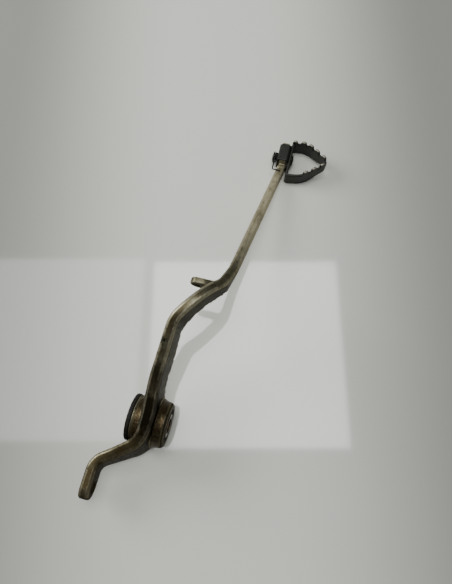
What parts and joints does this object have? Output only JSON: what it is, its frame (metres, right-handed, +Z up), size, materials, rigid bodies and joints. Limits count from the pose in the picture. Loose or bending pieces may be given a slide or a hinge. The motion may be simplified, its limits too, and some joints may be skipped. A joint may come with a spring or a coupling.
{
  "type": "brake pedal",
  "caption": "Right-hand rear brake pedal of an off-road motorcycle: cranked steel arm on a pivot boss, clevis eye at the rear and a sprung folding step with a toothed cleat loop.",
  "frame": {"origin": "centre of the pivot bore, on its axis, half-way along the collar", "axes": "+X forward to the step, +Y inboard to the motorcycle along the pivot's axis, +Z up"},
  "size_m": [0.2873, 0.1036, 0.061],
  "materials": {
    "arm_plate": "satin zinc-nickel plate, stained and greasy",
    "weld": "plated weld bead",
    "bush": "sintered bronze, oiled",
    "collar": "ground steel",
    "seal": "moulded nitrile rubber",
    "step_paint": "worn satin black paint",
    "pin": "blackened steel",
    "spring": "dark spring wire"
  },
  "bodies": {
    "pedal": {"pedal_arm": "arm_plate", "pivot_boss": "arm_plate", "boss_weld_inboard": "weld", "boss_weld_outboard": "weld", "pivot_bush_inboard": "bush", "pivot_bush_outboard": "bush", "dust_seal_inboard": "seal", "dust_seal_outboard": "seal", "spring_tab": "arm_plate", "tab_weld": "weld", "step_spring": "spring"},
    "collar": {"pivot_collar": "collar"},
    "toe_step": {"step_bracket": "step_paint", "cleat_loop": "step_paint", "loop_weld_front": "step_paint", "loop_weld_rear": "step_paint", "step_pin": "pin", "pin_washer": "pin"}
  },
  "joints": [
    {"name": "collar_spin", "type": "hinge", "parent": "pedal", "child": "collar", "pos_m": [0, 0, 0], "axis": [0, 1, 0], "continuous": true},
    {"name": "step_fold", "type": "hinge", "parent": "pedal", "child": "toe_step", "pos_m": [0.219, -0.0413, -0.01], "axis": [0, -1, 0], "range_deg": [0, 35], "stiffness_Nm_per_rad": 0.15, "springref_deg": -28.65, "deforming": ["step_spring"]}
  ]
}
